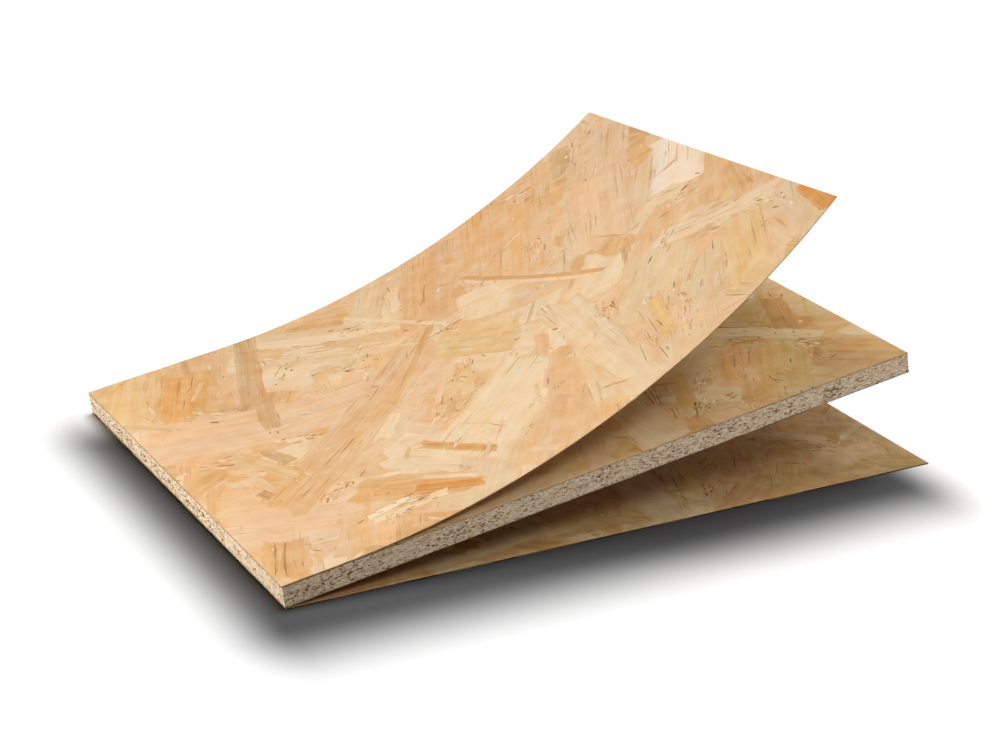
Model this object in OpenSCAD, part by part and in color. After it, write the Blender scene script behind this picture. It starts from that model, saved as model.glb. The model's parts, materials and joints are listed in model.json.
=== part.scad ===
// Layered board sample: a thick chipboard core between two thin strand-faced sheets.
// The layers meet along one short end and fan open towards the other.
// The bottom sheet lies flat, the core leans up from it, and the top sheet peels up from the core.
// Millimetres. +X runs along the boards to the open end, +Y across them, +Z up.
// The origin is the middle of the bottom sheet's underside.

/* [Core board] */
// Length of the core board
core_length = 500; // [300:1:900]
// Width of all three layers
board_width = 375; // [200:1:600]
// Thickness of the core board
core_thickness = 16; // [8:0.5:30]
// Angle between the core board and the bottom sheet, in degrees
core_lift = 8.8; // [2:0.1:15]

/* [Face sheets] */
// Thickness of each face sheet
sheet_thickness = 1; // [0.5:0.1:3]
// Length of the bottom sheet
bottom_sheet_length = 518; // [350:1:900]
// Length of the top sheet, measured along its curve
top_sheet_length = 480; // [250:1:900]

/* [Peel of the top sheet] */
// Length along the front edge over which the top sheet still lies on the core
peel_start = 40; // [20:1:120]
// Radius to which the top sheet bends, on its underside
peel_radius = 660; // [400:5:1500]
// Angle between the bend line and the board's width, in degrees
peel_skew = 10.5; // [0:0.5:14]

/* [Hidden] */
$fn = 96;

strand_colour = "#e6bd85";
shaded_strand_colour = "#d9ad74";
chip_colour = "#b39b83";

// Degrees turned over a given length of the bend
function turn_over(length) = length / peel_radius * 180 / PI;

// Length of the peeled part, along the front edge and square to the bend line
peeled_length = top_sheet_length - peel_start;
peeled_across_bend = peeled_length * cos(peel_skew);
end_turn = turn_over(peeled_across_bend);
// Distance from the end frame to the end edge, measured along the sheet
end_offset = peeled_length - peeled_across_bend * cos(peel_skew);

// Blanks run past the cut lines by this much, and the trims clear every blank
overrun = board_width / 2;
overrun_turn = turn_over(overrun);
trim_reach = top_sheet_length + peel_radius;

// The joined short end, where the core's lower edge stands on the bottom sheet
module at_core() {
    translate([-bottom_sheet_length / 2, -board_width / 2, sheet_thickness])
        rotate([0, -core_lift, 0])
            children();
}

// Frame at the start of the bend: Y along the bend line, X square to it
module at_bend_line() {
    translate([peel_start, 0, core_thickness])
        rotate([0, 0, -peel_skew])
            children();
}

// Frame at the end of the sheet: X along the sheet, Z out of its upper face
module at_sheet_end() {
    at_bend_line()
        translate([peel_radius * sin(end_turn), 0, peel_radius * (1 - cos(end_turn))])
            rotate([0, -end_turn, 0])
                rotate([0, 0, peel_skew])
                    translate([end_offset, 0, 0])
                        children();
}

// The sheet before it is trimmed: flat up to the bend line, then rolled about it
module bent_blank() {
    blank_width = board_width / cos(peel_skew) + top_sheet_length * sin(peel_skew) + 2 * overrun;
    flat_reach = peel_start + blank_width;
    at_bend_line()
        translate([0, -overrun, 0]) {
            translate([-flat_reach, 0, 0])
                cube([flat_reach, blank_width, sheet_thickness]);
            translate([0, blank_width, peel_radius])
                rotate([90, 0, 0])
                    rotate([0, 0, -90])
                        rotate_extrude(angle = end_turn + overrun_turn, $fn = 360)
                            translate([peel_radius - sheet_thickness, 0])
                                square([sheet_thickness, blank_width]);
        }
}

// The long edges and the joined end are cut flush with the core's sides
module flush_trim() {
    cube([trim_reach, board_width, trim_reach]);
}

// The free end is cut square to the sheet
module end_trim() {
    at_sheet_end()
        translate([-trim_reach, -trim_reach, -trim_reach])
            cube([trim_reach, 2 * trim_reach, 2 * trim_reach]);
}

module top_sheet() {
    color(strand_colour)
        at_core()
            intersection() {
                bent_blank();
                flush_trim();
                end_trim();
            }
}

module core_board() {
    color(chip_colour)
        at_core()
            cube([core_length, board_width, core_thickness]);
}

module bottom_sheet() {
    color(shaded_strand_colour)
        translate([-bottom_sheet_length / 2, -board_width / 2, 0])
            cube([bottom_sheet_length, board_width, sheet_thickness]);
}

top_sheet();
core_board();
bottom_sheet();
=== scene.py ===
# %% [markdown]
# # A fanned stack of strand board layers
# A thick chipboard core lies between two thin sheets of pressed wood strands.
# The layers meet at one short end and open like a fan: the bottom sheet lies on the floor,
# the core leans up from it, and the top sheet peels up from the core in a curve.
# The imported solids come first. They fix every size and place, and they are never moved.

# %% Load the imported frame
import collections
import json
import math

import bmesh
import bpy
import numpy as np
from mathutils import Matrix, Vector

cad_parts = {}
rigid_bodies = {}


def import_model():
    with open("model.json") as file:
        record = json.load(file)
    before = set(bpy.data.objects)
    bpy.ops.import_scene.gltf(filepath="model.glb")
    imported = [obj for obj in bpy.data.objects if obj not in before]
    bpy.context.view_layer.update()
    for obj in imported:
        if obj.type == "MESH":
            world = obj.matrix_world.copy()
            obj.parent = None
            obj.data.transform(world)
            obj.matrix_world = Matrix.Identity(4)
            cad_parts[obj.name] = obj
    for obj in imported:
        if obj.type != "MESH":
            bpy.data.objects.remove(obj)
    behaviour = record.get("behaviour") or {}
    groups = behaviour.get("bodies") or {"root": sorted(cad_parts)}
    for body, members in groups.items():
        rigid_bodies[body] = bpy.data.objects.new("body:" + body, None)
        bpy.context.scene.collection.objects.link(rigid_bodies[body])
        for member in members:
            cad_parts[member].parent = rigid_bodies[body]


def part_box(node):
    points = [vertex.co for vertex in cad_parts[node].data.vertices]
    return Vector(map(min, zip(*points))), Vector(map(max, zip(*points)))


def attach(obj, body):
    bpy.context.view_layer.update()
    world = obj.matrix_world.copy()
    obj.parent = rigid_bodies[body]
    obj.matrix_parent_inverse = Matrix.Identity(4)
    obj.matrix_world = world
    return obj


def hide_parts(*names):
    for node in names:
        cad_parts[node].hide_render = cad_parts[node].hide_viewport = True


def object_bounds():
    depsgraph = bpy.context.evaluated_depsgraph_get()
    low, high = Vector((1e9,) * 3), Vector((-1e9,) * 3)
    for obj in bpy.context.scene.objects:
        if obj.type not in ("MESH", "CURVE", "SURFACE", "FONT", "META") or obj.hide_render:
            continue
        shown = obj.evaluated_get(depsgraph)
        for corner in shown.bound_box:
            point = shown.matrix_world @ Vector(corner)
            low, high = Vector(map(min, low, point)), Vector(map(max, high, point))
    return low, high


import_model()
cad_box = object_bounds()
print("CAD box", [[round(x, 4) for x in corner] for corner in cad_box])

# %% [markdown]
# ## The sizes that the layers share
# The bottom sheet's box gives the width and the thickness of a sheet. The core leans and the
# top sheet bends, so their boxes don't give their own sizes, and these are written out here.
# A leaning board could be made level and turned as an object, but a finished piece keeps its
# place in its mesh. So a matrix puts points of the core into the shared frame.

# %% Sizes and the core's own frame
MM = 0.001
bottom_low, bottom_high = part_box("bottom_sheet")
bottom_length = bottom_high.x - bottom_low.x
board_width = bottom_high.y - bottom_low.y
sheet_thickness = bottom_high.z - bottom_low.z
core_length = 500 * MM
core_thickness = 16 * MM
core_lift = math.radians(8.8)
bottom_frame = Matrix.Translation(bottom_low)
core_frame = (
    Matrix.Translation((bottom_low.x, bottom_low.y, sheet_thickness))
    @ Matrix.Rotation(-core_lift, 4, "Y")
)
core_peak = (core_frame @ Vector((core_length, 0, core_thickness))).z
print("core's top is", round((core_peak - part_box("core_board")[1].z) / MM, 3), "mm off its box")

# %% [markdown]
# ## The peel
# A sheet that peels off a board rolls about a straight line. Here that line is skewed, so the
# front corner lifts more than the back one. A Simple Deform modifier bends about an object's own
# axis, so the sheet would have to be turned for it and turned back. A short formula on the points
# is plainer: each point is measured square to the bend line, and that length is wound on to a
# circle. The circle is stepped: between two bend lines the sheet stays flat, so strands that lie
# on one another stay parallel and none comes through the one above it.

# %% Bend flat points into the peeled sheet
top_length = 480 * MM
peel_start = 40 * MM
peel_radius = 660 * MM
peel_skew = math.radians(10.5)
across_bend = np.array((math.cos(peel_skew), -math.sin(peel_skew)))
along_bend = np.array((math.sin(peel_skew), math.cos(peel_skew)))
CURVE_STEP = 14 * MM
bend_lines = np.arange(0, top_length + CURVE_STEP, CURVE_STEP)


def peel(points):
    """Points given as along, across and up from the flat sheet's underside, in the core's frame."""
    flat = points[:, :2] - (peel_start, 0)
    square = flat @ across_bend
    beside = flat @ along_bend
    sine = np.interp(square, bend_lines, np.sin(bend_lines / peel_radius))
    cosine = np.interp(square, bend_lines, np.cos(bend_lines / peel_radius))
    radius = peel_radius - points[:, 2]
    reach = np.where(square > 0, radius * sine, square)
    rise = peel_radius - radius * cosine
    place = np.outer(reach, across_bend) + np.outer(beside, along_bend) + (peel_start, 0)
    return np.column_stack((place, core_thickness + rise))


front_end = core_frame @ Vector(peel(np.array([(top_length, 0, sheet_thickness)]))[0])
print("peeled front corner is", round((cad_box[1].z - front_end.z) / MM, 2), "mm below the CAD box")

# %% [markdown]
# ## Tones of wood
# Strands come from different logs, and from heartwood and sapwood, so each has its own tone.
# The tones are written as web colours, as a designer would pick them, and turned into the
# linear values that Blender's shaders use. Each face has its own set: on the core and the bottom
# sheet the tones are further apart, and darker with painted shade for the shade that the layers above
# throw on them, and on the undersides nearer to one another.

# %% The tones
def linear(web):
    """A web colour such as e8c48b as linear red, green and blue, by the sRGB curve."""
    parts = [int(web[k : k + 2], 16) / 255 for k in (0, 2, 4)]
    return [x / 12.92 if x < 0.04045 else ((x + 0.055) / 1.055) ** 2.4 for x in parts]


strand_tones = {
    "chalk": linear("f3ddbf"),
    "cream": linear("edd0a9"),
    "straw": linear("e6c79d"),
    "wheat": linear("e5c08b"),
    "pink": linear("e9c49b"),
    "rose": linear("e6bb8a"),
    "honey": linear("e0b27c"),
    "gold": linear("e3b275"),
    "amber": linear("dda86c"),
    "orange": linear("da9e58"),
    "tan": linear("d8af7f"),
    "brown": linear("b98e5f"),
    "bark": linear("84623f"),
    "common": linear("e6c092"),
}


def varied(contrast, tint):
    """The tones drawn apart from the common tone, or towards it, and tinted."""
    return {
        name: [m * (x / m) ** contrast * t for x, m, t in zip(tone, strand_tones["common"], tint)]
        for name, tone in strand_tones.items()
    }


top_tones = varied(contrast=1.06, tint=(1.02, 1.0, 0.985))
# The tints of the core and the bottom sheet darken them: painted shade from the layers above.
core_tones_with_painted_shade = varied(contrast=1.45, tint=(0.9, 0.9, 0.765))
bottom_tones_with_painted_shade = varied(contrast=1.3, tint=(0.68, 0.67, 0.55))
underside_tones = varied(contrast=0.7, tint=(0.88, 0.9, 0.93))
print(len(strand_tones), "strand tones in four sets")

# %% [markdown]
# ## One strand, as a pattern
# A strand is a thin flake, sliced along the grain: its sides run with the grain and its ends are
# torn. There are thousands, so an operator makes one pattern of each kind, a grid with a narrow
# rim inset, and arrays repeat it. Calling an operator for every strand would be far slower,
# because each call looks at the whole mesh. Every point of a pattern knows its column and row,
# and an inner point of the rim has those of the outline point beside it.

# %% Patterns of strands
Pattern = collections.namedtuple("Pattern", "faces columns rows column row outline has_rim")
RIM = 0.04
OUTER = 0.499


def arrays_of(bm):
    """The points and the faces of a bmesh, as arrays."""
    bm.verts.index_update()
    points = np.array([v.co for v in bm.verts])
    faces = np.array([[v.index for v in face.verts] for face in bm.faces])
    bm.free()
    return points, faces


def strand_pattern(columns, rows, rim):
    """A unit flake: its faces, its grid, and for each point its column, its row and if it lies outside."""
    bm = bmesh.new()
    bmesh.ops.create_grid(bm, x_segments=columns, y_segments=rows, size=0.5)
    if rim:
        bmesh.ops.inset_region(bm, faces=bm.faces[:], thickness=rim, use_boundary=True)
    points, faces = arrays_of(bm)
    column, row = np.rint((points[:, :2] + 0.5) * (columns, rows)).astype(int).T
    outline = np.abs(points).max(1) > OUTER
    return Pattern(faces, columns, rows, column, row, outline, rim > 0)


broad_pattern = strand_pattern(10, 5, RIM)
slim_pattern = strand_pattern(6, 3, RIM)
splinter_pattern = strand_pattern(4, 2, 0)
patterns = (broad_pattern, slim_pattern, splinter_pattern)
print("faces of a strand:", [len(pattern.faces) for pattern in patterns])

# %% [markdown]
# ## Laying the strands
# In the press each strand lies on those that fell before it. A coarse map of the face keeps how
# many strands already lie on each spot, and a new strand goes one level above the highest of
# them. Torn sides reach a little past the map's spots, so within a level each strand also lies
# a trace higher than the one before it. So no two strands share a height, and nothing flickers.

# %% Find each strand's level
Strand = collections.namedtuple(
    "Strand", "along across length width turn tone bow crisp", defaults=(None, 0.0)
)
SPOT = 4 * MM


def offset(along, across, turn, a, b):
    """The place that lies a along the grain and b across it from a given place."""
    x = along + a * math.cos(turn) - b * math.sin(turn)
    y = across + a * math.sin(turn) + b * math.cos(turn)
    return x, y


def levels_of(strands):
    """For each strand, one more than the strands that lie under it at the most."""
    height = collections.defaultdict(int)
    levels = []
    for s in strands:
        rows = np.linspace(-0.5, 0.5, math.ceil(s.length / SPOT) + 1) * s.length
        columns = np.linspace(-0.5, 0.5, math.ceil(s.width / SPOT) + 1) * s.width
        a, b = (grid.ravel() for grid in np.meshgrid(rows, columns))
        x, y = offset(s.along, s.across, s.turn, a, b)
        spots = set(zip((x // SPOT).astype(int).tolist(), (y // SPOT).astype(int).tolist()))
        level = 1 + max(height[spot] for spot in spots)
        for spot in spots:
            height[spot] = level
        levels.append(level)
    return np.array(levels)


crossed = [Strand(0, 0, 60 * MM, 20 * MM, turn, "straw") for turn in (0, math.pi / 2)]
print("two crossed strands lie on levels", levels_of(crossed))

# %% [markdown]
# ## Shaping the strands
# The arrays stretch each pattern to its strand's size and spoil its straight outline as slicing
# and drying do. The ends are torn, the sides wave, taper and bow, and the slimmest strands end in
# a point. Then each strand is turned and put in its place. Three attributes go with the points,
# for the material: the place along and across the grain, the tone, and how clear the outline is.

# %% Tear the ends
RIM_WIDTH = 9 * MM
END_RIM = 0.03
SIDE_RIM = 0.17
TEAR_OF_LENGTH = 0.16
TEAR_OF_WIDTH = 0.45
TEAR_RANGE = (0.3, 1.2)


def each(strands, key):
    """One value of every strand, as a column."""
    return np.array([getattr(s, key) for s in strands])[:, None]


def torn(pattern, strands, rng):
    """Places along and across each strand, with its rim set in and its ends torn."""
    length = each(strands, "length")
    width = each(strands, "width")
    count = len(strands)
    a = pattern.column / pattern.columns - 0.5
    b = pattern.row / pattern.rows - 0.5
    on_end = np.abs(a) == 0.5
    on_side = np.abs(b) == 0.5
    end_inset = np.minimum(RIM_WIDTH, END_RIM * length) * ~pattern.outline
    side_inset = np.minimum(RIM_WIDTH, SIDE_RIM * width) * ~pattern.outline
    ragged = np.minimum(TEAR_OF_LENGTH * length, TEAR_OF_WIDTH * width)
    ragged = ragged * rng.uniform(*TEAR_RANGE, (count, 1))
    next_row = np.clip(pattern.row, 1, pattern.rows - 1)
    way_in = side_inset * on_side * pattern.rows / width
    tears = (rng.random((count, pattern.rows + 1)) for _ in range(2))
    torn_start, torn_end = (
        (tear[:, pattern.row] * (1 - way_in) + tear[:, next_row] * way_in) * ragged for tear in tears
    )
    along = a * length + torn_start * (0.5 - a) - torn_end * (0.5 + a) - np.sign(a) * on_end * end_inset
    across = b * width - np.sign(b) * on_side * side_inset
    return along, across


# %% Wave the sides
SLANT = 0.24
TAPER = 0.35
STRAND_WAVE = 0.22
STRAND_BOW = 0.025
SPLINTER_WAVE = 0.9
SPLINTER_BOW = 0.07
SPLINTER_POINT = 0.75


def waved(pattern, strands, along, across, rng):
    """The places with slanted ends and tapered, waved and bowed sides."""
    length = each(strands, "length")
    width = each(strands, "width")
    count = len(strands)
    a = pattern.column / pattern.columns - 0.5
    slant = rng.uniform(-0.5, 0.5, (count, 1)) * np.minimum(1, SLANT * length / width)
    along = along + slant * across * (2 * a) ** 2
    taper = rng.uniform(-TAPER, TAPER, (count, 1))
    upper_side = (2 * pattern.row > pattern.rows).astype(int)
    wave = rng.random((count, pattern.columns + 1, 2))[:, pattern.column, upper_side]
    waviness = STRAND_WAVE if pattern.has_rim else SPLINTER_WAVE
    crookedness = STRAND_BOW if pattern.has_rim else SPLINTER_BOW
    across = across * (1 + taper * a + waviness * (wave - 0.5))
    if not pattern.has_rim:
        across = across * (1 - SPLINTER_POINT * (np.abs(a) == 0.5))
    bows = [rng.normal(0, crookedness) if s.bow is None else s.bow for s in strands]
    return along, across + np.array(bows)[:, None] * length * (0.25 - a * a)


# %% Put the strands of one pattern in place
TONE_RANGE = (0.96, 1.03)
SEED_RANGE = (0, 50)


def shaped(pattern, strands, depth, tones, rng):
    """Points, grain places, tones and clearness of the outline of all strands of one pattern."""
    along, across = waved(pattern, strands, *torn(pattern, strands, rng), rng)
    count, size = along.shape
    turn = each(strands, "turn")
    seed = np.repeat(rng.uniform(*SEED_RANGE, (count, 1)), size, 1)
    grain = np.stack((along, across, seed), -1)
    x = along * np.cos(turn) - across * np.sin(turn) + each(strands, "along")
    y = along * np.sin(turn) + across * np.cos(turn) + each(strands, "across")
    points = np.stack((x, y, np.repeat(-depth[:, None], size, 1)), -1)
    tone = np.array([tones[s.tone] for s in strands]) * rng.uniform(*TONE_RANGE, (count, 1))
    colours = np.repeat(np.column_stack((tone, np.ones(count)))[:, None], size, 1)
    rims = np.where(pattern.outline & pattern.has_rim, each(strands, "crisp"), 1.0)
    return points, grain, colours, rims


# %% [markdown]
# ## One mesh of many strands
# Thousands of objects would be slow to draw and to export, so all strands of a face become one
# mesh. Each copy of a pattern has the same faces, only with its points counted further on.

# %% Join copies of a pattern
def repeated(faces, copies, size, start):
    """The faces of a pattern of a given size, for copies whose points follow one another."""
    steps = start + np.arange(copies) * size
    return (faces[None] + steps[:, None, None]).reshape(-1, 4)


def wood_mesh(name, points, faces, grain, tones):
    """A mesh whose points carry a place along and across the grain, and a tone."""
    mesh = bpy.data.meshes.new(name)
    mesh.from_pydata(points, [], faces)
    mesh.attributes.new("grain", "FLOAT_VECTOR", "POINT").data.foreach_set("vector", grain.ravel())
    mesh.attributes.new("tone", "FLOAT_COLOR", "POINT").data.foreach_set("color", tones.ravel())
    return mesh


def corner_turns(quads, k):
    """Which way each face turns at its corner k: above 0 is to the left, as on an upright face."""
    before = quads[:, k] - quads[:, k - 1]
    after = quads[:, (k + 1) % 4] - quads[:, k]
    return before[:, 0] * after[:, 1] - before[:, 1] * after[:, 0]


# %% Join the strands of a face
BROAD_WIDTH = 12 * MM
SLIM_WIDTH = 3.5 * MM
SHARE_OF_LEVEL = 0.8


def pattern_for(width):
    if width > BROAD_WIDTH:
        return broad_pattern
    return slim_pattern if width > SLIM_WIDTH else splinter_pattern


def strand_mesh(name, strands, relief, tones, rng):
    """All strands in one flat mesh, the lowest near the relief's depth and the highest at 0."""
    levels = levels_of(strands)
    heights = levels + SHARE_OF_LEVEL * np.arange(len(strands)) / len(strands)
    depth = relief * (1 - heights / heights.max())
    blocks = []
    faces = []
    start = 0
    for pattern in patterns:
        chosen = [k for k, s in enumerate(strands) if pattern_for(s.width) is pattern]
        if not chosen:
            continue
        block = shaped(pattern, [strands[k] for k in chosen], depth[chosen], tones, rng)
        blocks.append([part.reshape(-1, *part.shape[2:]) for part in block])
        size = len(pattern.row)
        faces.append(repeated(pattern.faces, len(chosen), size, start))
        start += len(chosen) * size
    points, grain, colours, rims = (np.concatenate(part) for part in zip(*blocks))
    faces = np.concatenate(faces)
    mesh = wood_mesh(name, points, faces, grain, colours)
    mesh.attributes.new("rim", "FLOAT", "POINT").data.foreach_set("value", rims)
    folded = sum(corner_turns(points[faces][:, :, :2], k) <= 0 for k in range(4)) > 1
    print(name, "has", len(strands), "strands in", levels.max(), "levels")
    print(name, "has", folded.sum(), "folded faces")
    return mesh


# %% [markdown]
# ## Strands that the eye would miss
# A few dozen large strands give the panel its look, so they are given one by one: the middle along
# and across the sheet and the length and width, in millimetres, the turn of the grain in degrees,
# and a tone. The photograph shows the same pattern on all three layers. A soft strand fades into
# its neighbours, and a clear one keeps more of its tone up to its outline.

# %% Placed strands
SOFT = 0.0
HALF_CLEAR = 0.4
CLEAR = 0.6


def placed(crisp, *rows):
    """Strands from rows of millimetres and degrees; where a row goes on, its last number is the bow."""
    strands = []
    for along, across, length, width, turn, tone, *bow in rows:
        sizes = (along * MM, across * MM, length * MM, width * MM)
        strands.append(Strand(*sizes, math.radians(turn), tone, bow[0] if bow else None, crisp))
    return strands


soft_strands = placed(
    SOFT,
    (350, 320, 175, 84, 62, "rose"),
    (440, 300, 120, 60, 50, "pink"),
    (402, 240, 112, 60, 60, "pink"),
    (365, 100, 104, 60, 45, "straw"),
    (425, 48, 90, 40, 60, "wheat"),
    (345, 60, 64, 14, 70, "wheat"),
    (436, 105, 114, 20, -45, "cream"),
    (45, 240, 125, 70, -20, "pink"),
    (128, 212, 90, 60, -8, "pink"),
    (48, 85, 130, 84, -28, "pink"),
    (78, 28, 64, 44, 60, "rose"),
    (20, 335, 115, 45, 66, "wheat"),
    (160, 345, 92, 24, -36, "straw"),
    (125, 290, 66, 42, -36, "cream"),
    (172, 288, 124, 15, -37, "straw"),
    (186, 316, 140, 17, -38, "cream"),
    (206, 284, 92, 14, -40, "rose"),
    (124, 58, 84, 34, -40, "gold"),
    (132, 50, 80, 24, -40, "amber"),
    (220, 92, 125, 74, 30, "cream"),
    (270, 88, 74, 24, 62, "rose"),
    (230, 345, 96, 28, 58, "straw"),
    (135, 168, 255, 42, 38, "rose"),
    (305, 85, 188, 38, 84, "cream"),
    (205, 216, 120, 8, 47, "honey"),
    (326, 232, 150, 5, -64, "honey", -0.06),
    (320, 232, 140, 4, -64, "cream", -0.06),
)
clear_strands = placed(
    CLEAR,
    (272, 316, 150, 46, 62, "rose"),
    (470, 206, 74, 52, 50, "chalk"),
    (470, 122, 62, 20, 70, "honey"),
    (58, 312, 90, 46, 66, "gold"),
    (17, 30, 68, 32, 68, "honey"),
    (12, 282, 46, 6, -48, "wheat", 0.2),
    (60, 165, 70, 14, -68, "wheat"),
    (72, 172, 34, 11, -75, "tan"),
    (42, 123, 15, 9, -70, "tan"),
    (186, 352, 52, 18, -35, "honey"),
    (228, 293, 108, 5, -63, "cream"),
    (150, 84, 80, 32, -55, "cream"),
    # The thin brown strand along the gold strand's lower side is a painted shadow line.
    (170, 73, 66, 3, -58, "brown"),
    (173, 76, 68, 9, -58, "gold"),
    (150, 46, 44, 5, -48, "cream"),
    (112, 34, 58, 9, -6, "cream"),
    (100, 44, 34, 6, 6, "chalk"),
    (112, 318, 135, 20, 71, "tan"),
    (94, 240, 56, 14, 76, "tan"),
    (10, 34, 40, 1.6, 68, "brown"),
    (17, 31, 46, 1.9, 68, "brown"),
    (25, 34, 40, 1.4, 68, "tan"),
)
orange_strand = placed(SOFT, (144, 36, 56, 12, -42, "orange"))
corner_strand = placed(HALF_CLEAR, (483, 16, 50, 26, 78, "orange"))
shared_strands = soft_strands + clear_strands
top_strands = soft_strands + orange_strand + clear_strands
print(len(shared_strands), "strands are placed by eye on every face, and two more on the top sheet")

# %% [markdown]
# ## Where the panel is rough
# At some spots the grain opens in slits, and at others broken bits gather. These spots are listed
# one by one too: along and across in millimetres, and the turn of the grain in degrees. Chance decides
# what lies there.

# %% Spots with slits and spots with crumbs
def rough_spots(*rows):
    """Places and turns from rows of millimetres and degrees."""
    return [(along * MM, across * MM, math.radians(turn)) for along, across, turn in rows]


slit_spots = rough_spots(
    (17, 32, 68),
    (120, 150, 38),
    (150, 182, 38),
    (178, 206, 42),
    (212, 226, 47),
    (60, 312, 66),
    (270, 320, 62),
    (160, 318, -37),
    (190, 290, -38),
    (400, 330, 58),
    (360, 230, 62),
    (400, 60, 58),
    (330, 60, 75),
    (440, 120, -45),
)
crumb_spots = rough_spots(
    (200, 316, -38),
    (175, 257, -25),
    (135, 300, 50),
    (445, 340, 40),
    (30, 190, -30),
    (100, 183, -20),
    (85, 92, 30),
    (115, 38, -8),
    (60, 272, -40),
    (400, 135, 35),
    (365, 65, 50),
    (425, 98, -50),
    (345, 30, 55),
    (458, 64, -60),
    (330, 115, 80),
    (245, 240, -10),
    (385, 352, -35),
    (350, 265, 60),
    (190, 130, 45),
    (440, 160, -10),
)
print(len(slit_spots), "spots with slits and", len(crumb_spots), "spots with crumbs")

# %% [markdown]
# ## Scattering the strands that no one would count
# First comes a ground of broad strands, set on a loose grid so that no gap stays open. The placed
# strands lie on it. Crumbs follow where strands end, because torn ends fray, and dark cracks run
# along the grain, with painted shadow lines along the strands' sides.
# All chance comes from one seeded source for each face, so every run gives the same board.

# %% Choose tones and directions
GROUND_TONES = {"cream": 2, "straw": 3, "wheat": 3, "pink": 4, "rose": 4, "honey": 1}
SLIM_TONES = {"cream": 3, "straw": 3, "wheat": 3, "pink": 3, "rose": 3, "honey": 2, "tan": 1}
CRUMB_TONES = {"chalk": 1.5, "cream": 4, "straw": 4, "honey": 5, "tan": 7, "brown": 5, "bark": 0.6}
CRACK_TONES = {"honey": 3, "tan": 6, "brown": 4, "bark": 0.3}
DARK_TONES = ("brown", "bark")
MAIN_TURNS = (58, -42, 10)
TURN_SHARES = (0.5, 0.35, 0.15)
TURN_SPREAD = 16


def pick(rng, weights):
    """One tone, by weight."""
    names = list(weights)
    shares = np.array(list(weights.values()), float)
    return names[rng.choice(len(names), p=shares / shares.sum())]


def lean(rng):
    """The direction of a strand's grain, in radians from the board's length."""
    main = rng.choice(MAIN_TURNS, p=TURN_SHARES)
    return math.radians(rng.normal(main, TURN_SPREAD))


def some(rng, limits):
    """A size in metres, between limits in millimetres."""
    return rng.uniform(*limits) * MM


# %% Scatter strands over a face
GROUND_STEP = (46 * MM, 25 * MM)
GROUND_PLACE = (0.1, 0.9)
GROUND_LENGTHS = (85, 150)
GROUND_WIDTHS = (34, 60)


def ground_strands(rng, length, width):
    """Broad strands that cover a face, in the order in which they fall."""
    strands = []
    for row in range(-1, math.ceil(length / GROUND_STEP[0]) + 1):
        for column in range(-1, math.ceil(width / GROUND_STEP[1]) + 1):
            along = (row + rng.uniform(*GROUND_PLACE)) * GROUND_STEP[0]
            across = (column + rng.uniform(*GROUND_PLACE)) * GROUND_STEP[1]
            size = (some(rng, GROUND_LENGTHS), some(rng, GROUND_WIDTHS))
            strands.append(Strand(along, across, *size, lean(rng), pick(rng, GROUND_TONES)))
    return [strands[k] for k in rng.permutation(len(strands))]


def loose_strands(rng, length, width, count, lengths, widths):
    """Slim strands anywhere on a face."""
    strands = []
    for _ in range(count):
        place = (rng.uniform(0, length), rng.uniform(0, width))
        size = (some(rng, lengths), some(rng, widths))
        strands.append(Strand(*place, *size, lean(rng), pick(rng, SLIM_TONES)))
    return strands


# %% Scatter crumbs and cracks
STRAY = 1.5
STRAY_LENGTH = 4
DARK_SLIMNESS = 0.75
FRAY_REACH = 4
FRAY_COUNT = (3, 9)
# Slits at a strand's sides are painted shadow lines along its edge.
SHADOW_LINES_AT_SIDES = 0.6
SIDE_SHADOW_LINES = (3, 20)
INNER_CRACKS = (3, 8)
CRACK_WIDTHS = (0.4, 0.9)


def crumbs(rng, spot, reach, count, lengths, widths, tones):
    """Broken bits or slits round a spot. Short ones stray most from the grain, dark ones are slimmer."""
    along, across, turn = spot
    bits = []
    for _ in range(count):
        a = rng.normal(0, reach[0]) * MM
        b = rng.normal(0, reach[1]) * MM
        place = offset(along, across, turn, a, b)
        length = some(rng, lengths)
        width = some(rng, widths)
        way = turn + rng.normal(0, STRAY / max(length / MM, STRAY_LENGTH))
        tone = pick(rng, tones)
        slimness = DARK_SLIMNESS if tone in DARK_TONES else 1.0
        bits.append(Strand(*place, length, width * slimness, way, tone))
    return bits


def frayed_ends(rng, strands, share):
    """Crumbs where strands end, at a share of the ends."""
    bits = []
    for s in strands:
        for end in (-0.5, 0.5):
            if rng.random() < share:
                spot = (*offset(s.along, s.across, s.turn, end * s.length, 0), s.turn)
                reach = (FRAY_REACH, s.width / MM / 3)
                count = rng.integers(*FRAY_COUNT)
                bits += crumbs(rng, spot, reach, count, (2, 9), (0.4, 1.8), CRUMB_TONES)
    return bits


def cracks_and_shadow_lines(rng, strands, count):
    """Dark slits along the grain: short cracks inside strands, and longer painted shadow lines at their
    sides.
    """
    slits = []
    for _ in range(count):
        s = strands[rng.integers(len(strands))]
        at_side = rng.random() < SHADOW_LINES_AT_SIDES
        a = rng.uniform(-0.4, 0.4) * s.length
        b = (rng.choice((-0.49, 0.49)) if at_side else rng.uniform(-0.4, 0.4)) * s.width
        place = offset(s.along, s.across, s.turn, a, b)
        size = (some(rng, SIDE_SHADOW_LINES if at_side else INNER_CRACKS), some(rng, CRACK_WIDTHS))
        slits.append(Strand(*place, *size, s.turn + rng.normal(0, 0.05), pick(rng, CRACK_TONES)))
    return slits


# %% Everything that lies on a face
LAST_FALLEN = 60
FRAYED_SHARE = 0.2


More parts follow.
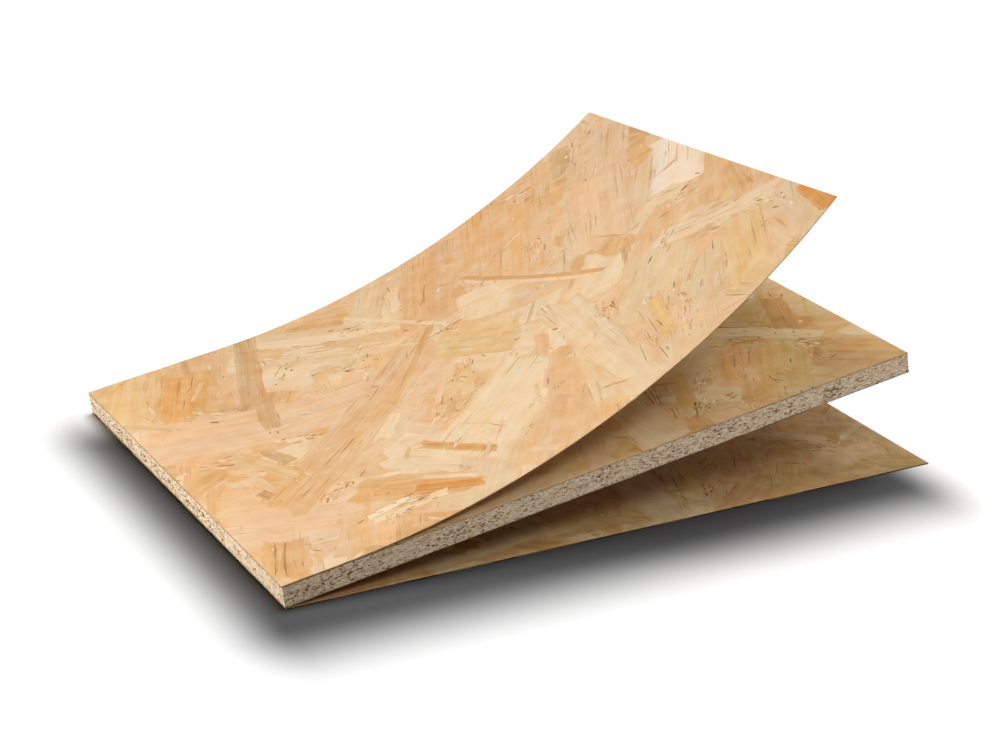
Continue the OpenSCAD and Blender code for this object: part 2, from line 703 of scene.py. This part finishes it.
def scattered(rng, length, width, share, by_eye, last=()):
    """Strands for a face in the order in which they fall; a share under 1 thins the small ones out."""
    ground = ground_strands(rng, length, width)
    slim = loose_strands(rng, length, width, int(40 * share), lengths=(45, 100), widths=(13, 30))
    slim += loose_strands(rng, length, width, int(60 * share), lengths=(18, 60), widths=(4, 10))
    thin = loose_strands(rng, length, width, int(30 * share), lengths=(14, 40), widths=(2, 4))
    broad = ground[-LAST_FALLEN:] + slim + by_eye + thin
    details = frayed_ends(rng, broad, FRAYED_SHARE * share) + cracks_and_shadow_lines(rng, broad, int(130 * share))
    for spot in slit_spots:
        details += crumbs(rng, spot, (18, 7), int(9 * share), (8, 32), (0.5, 1.2), CRACK_TONES)
    for spot in crumb_spots:
        details += crumbs(rng, spot, (10, 5), int(26 * share), (2, 10), (0.6, 2.2), CRUMB_TONES)
    return ground + slim + by_eye + thin + list(last) + details


# %% [markdown]
# ## Cutting
# The press mat is trimmed to the panel's outline. The bisect operator cuts strands at planes and
# clears what lies outside. On the peeled sheet it also cuts every strand at the bend lines, so
# that all levels follow the same curve.

# %% Cut a mesh at planes
Cut = collections.namedtuple("Cut", "point normal clear")
ON_PLANE = 1e-7


def cut_mesh(mesh, cuts):
    bm = bmesh.new()
    bm.from_mesh(mesh)
    for cut in cuts:
        bmesh.ops.bisect_plane(
            bm,
            geom=bm.verts[:] + bm.edges[:] + bm.faces[:],
            dist=ON_PLANE,
            plane_co=cut.point,
            plane_no=cut.normal,
            clear_outer=cut.clear,
        )
    bm.to_mesh(mesh)
    bm.free()


def side_cuts(width):
    return [Cut((0, 0, 0), (0, -1, 0), True), Cut((0, width, 0), (0, 1, 0), True)]


def end_cuts(length):
    return [Cut((0, 0, 0), (-1, 0, 0), True), Cut((length, 0, 0), (1, 0, 0), True)]


bend_cuts = []
for distance in bend_lines:
    line = across_bend * distance + (peel_start, 0)
    bend_cuts.append(Cut((*line, 0), (*across_bend, 0), False))
print(len(bend_cuts), "cuts follow the bend")

# %% [markdown]
# ## Giving the flakes a body
# Only the edge of a flake shows besides its face, so the outline is drawn down into the mat below
# it. Solidify would also make undersides, and half of the mesh would never be seen.

# %% Draw the outlines down
SMOOTH_ANGLE = math.radians(30)


def draw_down(mesh, depth):
    bm = bmesh.new()
    bm.from_mesh(mesh)
    outline = [edge for edge in bm.edges if edge.is_boundary]
    made = bmesh.ops.extrude_edge_only(bm, edges=outline)["geom"]
    lower = [item for item in made if isinstance(item, bmesh.types.BMVert)]
    bmesh.ops.translate(bm, verts=lower, vec=(0, 0, -depth))
    bm.to_mesh(mesh)
    bm.free()


def move_points(mesh, change):
    """Runs all points of a mesh through a function of an array."""
    points = np.empty(len(mesh.vertices) * 3, np.float32)
    mesh.vertices.foreach_get("co", points)
    moved = change(points.reshape(-1, 3).astype(float))
    mesh.vertices.foreach_set("co", moved.astype(np.float32).ravel())
    mesh.update()


def finished(mesh, material):
    """The mesh as a piece of the object."""
    mesh.shade_smooth()
    mesh.set_sharp_from_angle(angle=SMOOTH_ANGLE)
    mesh.materials.append(material)
    piece = bpy.data.objects.new(mesh.name, mesh)
    bpy.context.scene.collection.objects.link(piece)
    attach(piece, "root")
    mesh.calc_loop_triangles()
    print(mesh.name, "has", len(mesh.loop_triangles), "triangles")
    return piece


# %% [markdown]
# ## Materials
# Every wood material here starts from the tone that its strand or chip carries, and adds what the
# eye looks for: streaks along the grain, a slow drift between warm and pale, short dark cracks,
# and an edge that fades into its neighbours. A picture could be wrapped round the board instead,
# but it would stretch on the bend. A few helpers keep the node trees short enough to read.

# %% Helpers for node trees
def new_material(name):
    material = bpy.data.materials.new(name)
    material.use_nodes = True
    return material, material.node_tree


def set_inputs(tree, node, inputs):
    """Sets a node's inputs; one that is given a socket is linked to it."""
    for key, value in inputs.items():
        if isinstance(value, bpy.types.NodeSocket):
            tree.links.new(value, node.inputs[key])
        else:
            node.inputs[key].default_value = value


def add(tree, kind, inputs=None, **settings):
    """A node with its settings and inputs."""
    made = tree.nodes.new("ShaderNode" + kind)
    for key, value in settings.items():
        setattr(made, key, value)
    set_inputs(tree, made, inputs or {})
    return made


def attribute(tree, name, output):
    return add(tree, "Attribute", attribute_name=name).outputs[output]


def calculated(tree, operation, first, second):
    return add(tree, "Math", {0: first, 1: second}, operation=operation).outputs[0]


def shaded(tree, colour, value):
    return add(tree, "VectorMath", {0: colour, 1: value}, operation="MULTIPLY").outputs[0]


def blend(tree, share, first, second):
    """Two colours mixed: sockets 0, 6 and 7 of a Mix node are its share and its colours."""
    return add(tree, "Mix", {0: share, 6: first, 7: second}, data_type="RGBA").outputs[2]


# %% Helpers for patterns in a material
def spread(tree, value, low, high, span):
    """Brings a value from the range span to the range from low to high."""
    limits = {"Value": value, "From Min": span[0], "From Max": span[1], "To Min": low, "To Max": high}
    return add(tree, "MapRange", limits).outputs[0]


def stretched_noise(tree, vector, scale, detail=2.0, low=0.0, high=1.0, span=(0.3, 0.7)):
    """Noise on stretched coordinates, brought from span to the range from low to high."""
    place = add(tree, "Mapping", {"Vector": vector, "Scale": scale})
    noise = add(tree, "TexNoise", {"Vector": place.outputs[0], "Scale": 1.0, "Detail": detail})
    return spread(tree, noise.outputs[0], low, high, span)


# %% The finish of a strand
WARM = (1.045, 1.0, 0.92, 1)
PALE = (0.965, 1.0, 1.06, 1)
CRACK_SHADE = (0.66, 0.56, 0.46)


def faded_tone(tree, grain, tones):
    """A strand's tone, which fades unevenly to the common tone where the outline isn't clear."""
    edge = stretched_noise(tree, grain, (40, 40, 1), detail=3, low=0.25, high=1.2, span=(0.35, 0.6))
    inside = calculated(tree, "POWER", attribute(tree, "rim", "Fac"), edge)
    share = spread(tree, inside, low=0.05, high=1, span=(0, 1))
    return blend(tree, share, (*tones["common"], 1), attribute(tree, "tone", "Color"))


def crack_share(tree, grain, place):
    """How far a spot is a crack: slits along the grain that gather in some places."""
    gather = stretched_noise(tree, place, (24, 24, 24), detail=1, span=(0.46, 0.6))
    slit = stretched_noise(tree, grain, (18, 430, 1.7), high=0.75, span=(0.58, 0.72))
    return calculated(tree, "MULTIPLY", slit, gather)


def strand_finish(name, tones):
    material, tree = new_material(name)
    grain = attribute(tree, "grain", "Vector")
    place = add(tree, "TexCoord").outputs["Object"]
    fine = stretched_noise(tree, grain, (22, 600, 1), detail=3, low=0.94, high=1.06)
    broad = stretched_noise(tree, grain, (10, 160, 1), detail=3, low=0.9, high=1.1)
    patch = stretched_noise(tree, place, (70, 70, 70), detail=5, low=0.85, high=1.15)
    drift = stretched_noise(tree, place, (9, 9, 9), low=0.97, high=1.1)
    deep = fine
    for value in (broad, patch, drift):
        deep = calculated(tree, "MULTIPLY", deep, value)
    colour = add(tree, "Gamma", {0: faded_tone(tree, grain, tones), 1: deep}).outputs[0]
    warmth = blend(tree, stretched_noise(tree, grain, (6, 45, 1)), WARM, PALE)
    colour = shaded(tree, colour, warmth)
    crack = crack_share(tree, grain, place)
    height = calculated(tree, "SUBTRACT", fine, crack)
    bump = add(tree, "Bump", {"Height": height, "Strength": 0.2, "Distance": 0.2 * MM})
    finish = {
        "Base Color": blend(tree, crack, colour, shaded(tree, colour, CRACK_SHADE)),
        "Normal": bump.outputs[0],
        "Roughness": stretched_noise(tree, grain, (20, 300, 1), low=0.6, high=0.8),
        "Specular IOR Level": 0.25,
    }
    set_inputs(tree, tree.nodes["Principled BSDF"], finish)
    return material


top_wood = strand_finish("top_strands", top_tones)
# The core's and the bottom sheet's finishes carry the painted shade of their darker tones.
core_wood = strand_finish("core_strands", core_tones_with_painted_shade)
bottom_wood = strand_finish("bottom_strands", bottom_tones_with_painted_shade)
underside_wood = strand_finish("underside_strands", underside_tones)
print("made", top_wood.name, "with", len(top_wood.node_tree.nodes), "nodes")

# %% [markdown]
# ## The mat between the strands
# Where strands leave a small gap, the eye meets the pressed wood below them. A thin plain sheet
# carries the strands of both faces and shows in these gaps and along the cut edge.

# %% The finish of the wood below
def mat_finish(name, web):
    material, tree = new_material(name)
    place = add(tree, "TexCoord").outputs["Object"]
    fleck = stretched_noise(tree, place, (160, 160, 900), detail=3, low=0.6, high=1.3)
    drift = stretched_noise(tree, place, (30, 30, 30), low=0.8, high=1.15)
    bump = add(tree, "Bump", {"Height": fleck, "Strength": 0.3, "Distance": 0.3 * MM})
    finish = {
        "Base Color": shaded(tree, shaded(tree, linear(web), fleck), drift),
        "Normal": bump.outputs[0],
        "Roughness": stretched_noise(tree, place, (200, 200, 200), low=0.7, high=0.9),
    }
    set_inputs(tree, tree.nodes["Principled BSDF"], finish)
    return material


pressed_mat = mat_finish("pressed_mat", "e8c796")
# The core's slab is darker as painted shade for the voids between the chips.
void_shade_mat = mat_finish("void_shade_mat", "8a6b4b")
RELIEF = 0.3 * MM
print("the strands of a face lie in", round(RELIEF / MM, 2), "mm")

# %% [markdown]
# ## The top sheet
# The upper face is what the eye sees first. The sheet is laid flat, cut, bent and then trimmed
# flush with the core's sides, in the order in which a bent sheet would be sawn.

# %% The peeled sheet's body
def peeled_piece(mesh, level, turn_over, material):
    """Bends a flat mesh at a level above the sheet's underside, and trims it flush."""
    way = -1 if turn_over else 1
    move_points(mesh, lambda p: peel(np.column_stack((p[:, :2], level + way * p[:, 2]))))
    cut_mesh(mesh, side_cuts(board_width))
    mesh.transform(core_frame)
    if turn_over:
        mesh.flip_normals()
    return finished(mesh, material)


def mat_mesh(name, length, width, thickness):
    """A plain closed slab."""
    mesh = bpy.data.meshes.new(name)
    middle = Matrix.Translation((length / 2, width / 2, thickness / 2))
    size = Matrix.Diagonal((length, width, thickness, 1))
    bm = bmesh.new()
    bmesh.ops.create_cube(bm, size=1, matrix=middle @ size)
    bm.to_mesh(mesh)
    bm.free()
    return mesh


mat_thickness = sheet_thickness - 2 * RELIEF
top_slab = mat_mesh("top_sheet_mat", top_length, board_width, mat_thickness)
cut_mesh(top_slab, bend_cuts)
top_mat = peeled_piece(top_slab, RELIEF, False, pressed_mat)
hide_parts("top_sheet")


# %% Strands on both faces of the peeled sheet
def peeled_strands(name, share, level, turn_over, tones, wood, seed, by_eye, last=()):
    rng = np.random.default_rng(seed)
    strands = scattered(rng, top_length, board_width, share, by_eye, last)
    mesh = strand_mesh(name, strands, RELIEF, tones, rng)
    cut_mesh(mesh, end_cuts(top_length) + bend_cuts)
    draw_down(mesh, RELIEF)
    return peeled_piece(mesh, level, turn_over, wood)


FULL = 1.0
SPARSE = 0.3
top_upper = (sheet_thickness, False, top_tones, top_wood)
top_lower = (0, True, underside_tones, underside_wood)
peeled_strands("top_sheet_upper_strands", FULL, *top_upper, seed=11, by_eye=top_strands, last=corner_strand)
peeled_strands("top_sheet_lower_strands", SPARSE, *top_lower, seed=12, by_eye=shared_strands)

# %% [markdown]
# ## The core's faces and the bottom sheet
# These lie flat in their own frames, so their strands are only cut and put in place.

# %% Flat strand faces
def flat_strands(name, length, share, place, level, turn_over, tones, wood, slot, seed):
    rng = np.random.default_rng(seed)
    strands = scattered(rng, length, board_width, share, shared_strands)
    mesh = strand_mesh(name, strands, RELIEF, tones, rng)
    cut_mesh(mesh, end_cuts(length) + side_cuts(board_width))
    draw_down(mesh, RELIEF)
    way = -1 if turn_over else 1
    mesh.transform(place @ Matrix.Translation((0, 0, level)) @ Matrix.Diagonal((1, 1, way, 1)))
    if turn_over:
        mesh.flip_normals()
    return finished(mesh, wood)


core_upper = (core_frame, core_thickness, False, core_tones_with_painted_shade, core_wood)
core_lower = (core_frame, 0, True, underside_tones, underside_wood)
bottom_upper = (bottom_frame, sheet_thickness, False, bottom_tones_with_painted_shade, bottom_wood)
bottom_lower = (bottom_frame, 0, True, underside_tones, underside_wood)
flat_strands("core_upper_strands", core_length, FULL, *core_upper, "chip_core", seed=21)
flat_strands("core_lower_strands", core_length, SPARSE, *core_lower, "chip_core", seed=22)
flat_strands("bottom_sheet_upper_strands", bottom_length, FULL, *bottom_upper, "strand_sheet", seed=31)
flat_strands("bottom_sheet_lower_strands", bottom_length, SPARSE, *bottom_lower, "strand_sheet", seed=32)
bottom_slab = mat_mesh("bottom_sheet_mat", bottom_length, board_width, mat_thickness)
bottom_slab.transform(bottom_frame @ Matrix.Translation((0, 0, RELIEF)))
bottom_mat = finished(bottom_slab, pressed_mat)
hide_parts("bottom_sheet")

# %% [markdown]
# ## The core's sawn edges
# Chipboard is pressed from small chips, fine near the faces and coarse in the middle, with small
# voids and pits between them, which lie in shade. Each chip that the saw has cut is a little box.
# One cube is the pattern, and arrays repeat it along the four sides. A real pit would be lost
# behind its neighbours at this size, so each is a small chip whose dark tone is the pit's painted
# shade, and it lies nearest to the surface.

# %% One chip, and the tones of chips
chip_tones = {
    "cream": linear("e3cfb4"),
    "straw": linear("dcc5a6"),
    "tan": linear("d3b998"),
    "brown": linear("c6aa8b"),
    "dark": linear("ac9075"),
}
CHIP_WEIGHTS = {"cream": 6, "straw": 8, "tan": 6, "brown": 3, "dark": 1}
CHIP_TONE_RANGE = (0.93, 1.07)
# The pits' painted shade.
PIT_SHADE_TONE = linear("745a45")
PIT_SHADE_RANGE = (0.9, 2.2)


def chip_pattern():
    """A unit box without its back: its points and its faces."""
    bm = bmesh.new()
    bmesh.ops.create_cube(bm, size=1)
    back = [face for face in bm.faces if face.normal.z < -0.5]
    bmesh.ops.delete(bm, geom=back, context="FACES_ONLY")
    return arrays_of(bm)


def toned_chips(pit, rng):
    """A tone for each chip, darker with painted shade where it stands for a pit."""
    names = list(CHIP_WEIGHTS)
    shares = np.array([CHIP_WEIGHTS[name] for name in names], float)
    chosen = rng.choice(len(names), len(pit), p=shares / shares.sum())
    tone = np.array([chip_tones[name] for name in names])[chosen]
    tone = tone * rng.uniform(*CHIP_TONE_RANGE, (len(pit), 1))
    tone[pit] = np.outer(rng.uniform(*PIT_SHADE_RANGE, pit.sum()), PIT_SHADE_TONE)
    return np.column_stack((tone, np.ones(len(pit))))


chip_points, chip_faces = chip_pattern()
print("a chip has", len(chip_points), "points and", len(chip_faces), "faces")

# %% Where the chips of one side lie
ROW_STEP = 0.85 * MM
COLUMN_STEP = 2.0 * MM
VOIDS = 0.1
CLUSTER_STEP = 10 * MM
LONE_PITS = 0.01
CLUSTERED_PITS = 0.5


def chip_places(length, height, rng):
    """How far chips lie along a side and up it, how coarse they are there, and which are pits."""
    columns = np.arange(math.ceil(length / COLUMN_STEP)) + 0.5
    rows = np.arange(math.ceil(height / ROW_STEP)) + 0.5
    along, up = (grid.ravel() for grid in np.meshgrid(columns, rows))
    along = (along + rng.uniform(-0.6, 0.6, len(along))) * COLUMN_STEP
    up = (up + rng.uniform(-0.5, 0.5, len(up))) * ROW_STEP
    coarse = 1 - np.abs(2 * up / height - 1)
    keep = rng.random(len(up)) > VOIDS * coarse
    along, up, coarse = along[keep], up[keep], coarse[keep]
    knots = np.arange(0, length + CLUSTER_STEP, CLUSTER_STEP)
    cluster = np.interp(along, knots, rng.random(len(knots))) ** 2
    pit = rng.random(len(along)) < LONE_PITS + CLUSTERED_PITS * cluster * coarse**2
    return along, up, coarse, pit


# %% Chips along one side
CHIP_RELIEF = 0.35 * MM
CHIP_DEPTH = 3 * CHIP_RELIEF
CHIP_LENGTHS = (1.7, 3.0)
CHIP_HEIGHTS = (0.75, 1.15)
COARSER = 0.4
PIT_LENGTH = 0.6
PIT_HEIGHT = 0.65
CHIP_TILT = 0.22
CHIP_JITTER = 0.25
CHIP_SUNK = (0.2, 1)
PIT_SUNK = 0.1


def side_chips(length, height, rng):
    """Points, grain places and tones of the chips on one side: along it, up it and out of it."""
    along, up, coarse, pit = chip_places(length, height, rng)
    count = len(along)
    longer = (1 + COARSER * coarse) * np.where(pit, PIT_LENGTH, 1)
    lengths = rng.uniform(*CHIP_LENGTHS, count) * longer * MM
    heights = rng.uniform(*CHIP_HEIGHTS, count) * np.where(pit, PIT_HEIGHT, 1) * MM
    tilt = rng.normal(0, CHIP_TILT, count)[:, None]
    jitter = 1 + rng.uniform(-CHIP_JITTER, CHIP_JITTER, (2, count, len(chip_points)))
    a = chip_points[:, 0] * lengths[:, None] * jitter[0]
    b = chip_points[:, 1] * heights[:, None] * jitter[1]
    sunk = np.where(pit, PIT_SUNK, rng.uniform(*CHIP_SUNK, count))[:, None] * CHIP_RELIEF
    out = np.where(chip_points[:, 2] > 0, -sunk, -CHIP_DEPTH)
    x = along[:, None] + a * np.cos(tilt) - b * np.sin(tilt)
    y = up[:, None] + a * np.sin(tilt) + b * np.cos(tilt)
    points = np.stack((np.clip(x, 0, length), np.clip(y, 0, height), out), -1)
    seed = np.repeat(rng.uniform(*SEED_RANGE, (count, 1)), len(chip_points), 1)
    tones = np.repeat(toned_chips(pit, rng)[:, None], len(chip_points), 1)
    return points, np.stack((a, b, seed), -1), tones


# %% The finish of a chip
def chip_finish():
    material, tree = new_material("chip_wood")
    grain = attribute(tree, "grain", "Vector")
    streak = stretched_noise(tree, grain, (300, 2500, 1), low=0.85, high=1.12)
    finish = {
        "Base Color": shaded(tree, attribute(tree, "tone", "Color"), streak),
        "Roughness": stretched_noise(tree, grain, (300, 2500, 1), low=0.7, high=0.9),
        "Specular IOR Level": 0.2,
    }
    set_inputs(tree, tree.nodes["Principled BSDF"], finish)
    return material


chip_wood = chip_finish()
print("made", chip_wood.name, "with", len(chip_wood.node_tree.nodes), "nodes")

# %% Chips on all four sides
RIGHT_ANGLE = math.pi / 2
edge_height = core_thickness - 2 * RELIEF
sides = (
    (core_length, (0, 0), 0),
    (board_width, (core_length, 0), RIGHT_ANGLE),
    (core_length, (core_length, board_width), 2 * RIGHT_ANGLE),
    (board_width, (0, board_width), -RIGHT_ANGLE),
)
chip_rng = np.random.default_rng(41)
chip_blocks = []
all_faces = []
point_count = 0
for side_length, corner, turn in sides:
    points, grain, tones = side_chips(side_length, edge_height, chip_rng)
    side_frame = (
        Matrix.Translation((*corner, RELIEF))
        @ Matrix.Rotation(turn, 4, "Z")
        @ Matrix.Rotation(RIGHT_ANGLE, 4, "X")
    )
    turned = points.reshape(-1, 3) @ np.array(side_frame.to_3x3()).T + np.array(side_frame.translation)
    chip_blocks.append((turned, grain.reshape(-1, 3), tones.reshape(-1, 4)))
    all_faces.append(repeated(chip_faces, len(points), len(chip_points), point_count))
    point_count += len(turned)
all_points, all_grain, all_tones = (np.concatenate(part) for part in zip(*chip_blocks))
chips = wood_mesh("core_edge_chips", all_points, np.concatenate(all_faces), all_grain, all_tones)
chips.transform(core_frame)
finished(chips, chip_wood)
print(point_count // len(chip_points), "chips on the core's sides")

# %% [markdown]
# ## The core's body
# Between the chips the eye looks into the board's voids, which lie in shade. A plain slab, a little
# smaller than the board, stands for them with painted shade in its dark tone, and carries the strands and
# the chips.

# %% The slab with painted shade
INSET = 2 * RELIEF
body = mat_mesh("core_body", core_length - 2 * INSET, board_width - 2 * INSET, edge_height)
body.transform(core_frame @ Matrix.Translation((INSET, INSET, RELIEF)))
core_body = finished(body, void_shade_mat)
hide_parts("core_board")

# %% [markdown]
# ## Camera
# The photograph was taken from the left front, a little above. Position, direction and focal
# length were fitted to the corners of the layers.

# %% Place the camera
IMAGE_WIDTH = 998
FOCAL_PIXELS = 2518
CAMERA_PLACE = (-0.8273, -1.5490, 0.7513)
yaw, pitch, roll = (math.radians(x) for x in (28.03, 21.72, 0.37))
camera_data = bpy.data.cameras.new("camera")
camera_data.sensor_width = 36
camera_data.lens = FOCAL_PIXELS * camera_data.sensor_width / IMAGE_WIDTH
camera = bpy.data.objects.new("camera", camera_data)
camera.matrix_world = (
    Matrix.Translation(CAMERA_PLACE)
    @ Matrix.Rotation(-yaw, 4, "Z")
    @ Matrix.Rotation(RIGHT_ANGLE - pitch, 4, "X")
    @ Matrix.Rotation(roll, 4, "Z")
)
bpy.context.scene.collection.objects.link(camera)
bpy.context.scene.camera = camera
print("camera lens", round(camera_data.lens, 1), "mm")

# %% [markdown]
# ## The floor
# The stack lies on white paper, in a wide shadow that fades evenly all round it. A lamp's shadow
# is never so even. So a shadow is painted into the paper's colour round the stack, in an oblong with
# soft sides, and the lamp's own shadow falls inside it. The paper throws back less light than the
# camera sees, so that it doesn't light the layers from below.

# %% A sheet of paper
FLOOR_HALF = 6
FLOOR_DROP = 0.05 * MM
floor_mesh = bpy.data.meshes.new("floor")
bm = bmesh.new()
floor_place = Matrix.Translation((0, 0, -FLOOR_DROP))
bmesh.ops.create_grid(bm, x_segments=1, y_segments=1, size=FLOOR_HALF, matrix=floor_place)
bm.to_mesh(floor_mesh)
bm.free()
floor = bpy.data.objects.new("floor", floor_mesh)
bpy.context.scene.collection.objects.link(floor)
print("the floor is", 2 * FLOOR_HALF, "m wide")

# %% The paper's finish, with its painted shadow
NOTHING = (0, 0, 0)
# The painted shadow on the paper round the stack: its middle, half sizes, fade and colour.
PAINTED_SHADOW_MIDDLE = (-0.026, -0.046, 0)
PAINTED_SHADOW_HALF_SIZES = (0.242, 0.164, 1)
PAINTED_SHADOW_FADE = (0.056, 0.09, 1)
PAINTED_SHADOW_COLOUR = (0.098, 0.099, 0.102, 1)
PAPER_COLOUR = (0.93, 0.93, 0.93, 1)
PAPER_BOUNCE = 0.7
PAPER_GLOW = 0.06


def seen_share(tree):
    """1 for what the camera sees, straight or by way of gloss or glass, and 0 for what lights things."""
    path = add(tree, "LightPath").outputs
    seen = calculated(tree, "MAXIMUM", path["Is Camera Ray"], path["Is Glossy Ray"])
    return calculated(tree, "MAXIMUM", seen, path["Is Transmission Ray"])


def past_painted_shadow(tree):
    """How far a spot lies outside the painted shadow: 0 up to its edge and 1 where it has faded."""
    way_out = add(tree, "TexCoord").outputs["Object"]
    steps = (
        ("SUBTRACT", PAINTED_SHADOW_MIDDLE),
        ("ABSOLUTE", NOTHING),
        ("SUBTRACT", PAINTED_SHADOW_HALF_SIZES),
        ("MAXIMUM", NOTHING),
        ("DIVIDE", PAINTED_SHADOW_FADE),
    )
    for operation, amount in steps:
        way_out = add(tree, "VectorMath", {0: way_out, 1: amount}, operation=operation).outputs[0]
    distance = add(tree, "VectorMath", {0: way_out}, operation="LENGTH").outputs["Value"]
    return add(tree, "MapRange", {"Value": distance}, interpolation_type="SMOOTHSTEP").outputs[0]


def paper_finish():
    material, tree = new_material("paper_with_painted_shadow")
    fade = past_painted_shadow(tree)
    seen = seen_share(tree)
    bounce = spread(tree, seen, low=PAPER_BOUNCE, high=1.0, span=(0, 1))
    glow = calculated(tree, "MULTIPLY", calculated(tree, "MULTIPLY", seen, fade), PAPER_GLOW)
    finish = {
        "Base Color": shaded(tree, blend(tree, fade, PAINTED_SHADOW_COLOUR, PAPER_COLOUR), bounce),
        "Roughness": 0.9,
        "Specular IOR Level": 0.0,
        "Emission Color": (1, 1, 1, 1),
        "Emission Strength": glow,
    }
    set_inputs(tree, tree.nodes["Principled BSDF"], finish)
    return material


paper_with_painted_shadow = paper_finish()
floor_mesh.materials.append(paper_with_painted_shadow)
print("made", paper_with_painted_shadow.name, "with", len(paper_with_painted_shadow.node_tree.nodes), "nodes")

# %% [markdown]
# ## The lamps
# A sun lamp lights everything evenly from one side, and its angle sets how soft the shadows are. The
# strongest stands high at the back left, so the peeled sheet shades the core. Weaker ones from the
# front and the right open that shade. An area lamp is like a white card and lights what is near: one
# lifts the joined end, one the front edge and one the open corner of the core. Light linking tells
# each lamp what it lights. The floor has a lamp of its own, so its shadow is set apart from the wood's.

# %% Suns and cards
def lamp_object(data, place, toward):
    """A lamp at a place, shining in a direction."""
    lamp = bpy.data.objects.new(data.name, data)
    turned = Vector(toward).to_track_quat("-Z", "Y").to_matrix().to_4x4()
    lamp.matrix_world = Matrix.Translation(place) @ turned
    bpy.context.scene.collection.objects.link(lamp)
    return lamp


def sunlight(name, toward, strength, softness):
    """A sun lamp; its softness is the angle over which its light comes, in degrees."""
    data = bpy.data.lights.new(name, "SUN")
    data.energy = strength
    data.angle = math.radians(softness)
    return lamp_object(data, NOTHING, toward)


def card(name, size, power, place, aim):
    """An area lamp of a width and height, turned to the point at which it aims."""
    data = bpy.data.lights.new(name, "AREA")
    data.shape = "RECTANGLE"
    data.size, data.size_y = size
    data.energy = power
    return lamp_object(data, place, Vector(aim) - Vector(place))


wood_lamps = (
    sunlight("key", toward=(0.35, -0.45, -0.82), strength=1.05, softness=30),
    sunlight("front_fill", toward=(0.24, 0.65, -0.72), strength=1.0, softness=20),
    sunlight("right_fill", toward=(-0.42, 0.12, -0.9), strength=0.72, softness=22),
    card("left_card", size=(0.4, 0.1), power=3.15, place=(-0.75, -0.02, 0.06), aim=(0, -0.02, 0.06)),
    card("right_card", size=(0.3, 0.3), power=0.25, place=(0.6, -0.3, 0.4), aim=(0.22, -0.16, 0.05)),
    card("front_card", size=(0.6, 0.1), power=0.5, place=(0, -0.9, 0.06), aim=(0, -0.19, 0.05)),
)
floor_lamp = sunlight("floor_key", toward=(-0.22, -0.16, -1.0), strength=3.25, softness=40)
print(len(wood_lamps), "lamps light the wood and one the floor")

# %% What each lamp lights
not_floor = bpy.data.collections.new("not_floor")
not_floor.objects.link(floor)
not_floor.collection_objects[0].light_linking.link_state = "EXCLUDE"
for lamp in wood_lamps:
    lamp.light_linking.receiver_collection = not_floor
floor_only = bpy.data.collections.new("floor_only")
floor_only.objects.link(floor)
floor_lamp.light_linking.receiver_collection = floor_only
print("linked", floor_lamp.name, "to", floor_only.objects[0].name)

# %% [markdown]
# ## The background
# The world is white where the camera sees it, and sends only a little light, so that the lamps
# keep the shadows. The Standard view shows the colours as they are written.

# %% The world
WORLD_LIGHT = 0.05
world = bpy.data.worlds.new("studio")
world.use_nodes = True
sky_tree = world.node_tree
sky_light = spread(sky_tree, seen_share(sky_tree), low=WORLD_LIGHT, high=1.0, span=(0, 1))
sky = {"Color": (1, 1, 1, 1), "Strength": sky_light}
set_inputs(sky_tree, sky_tree.nodes["Background"], sky)
bpy.context.scene.world = world
bpy.context.scene.view_settings.view_transform = "Standard"
print("the world sends", WORLD_LIGHT, "of the light that the camera sees in it")
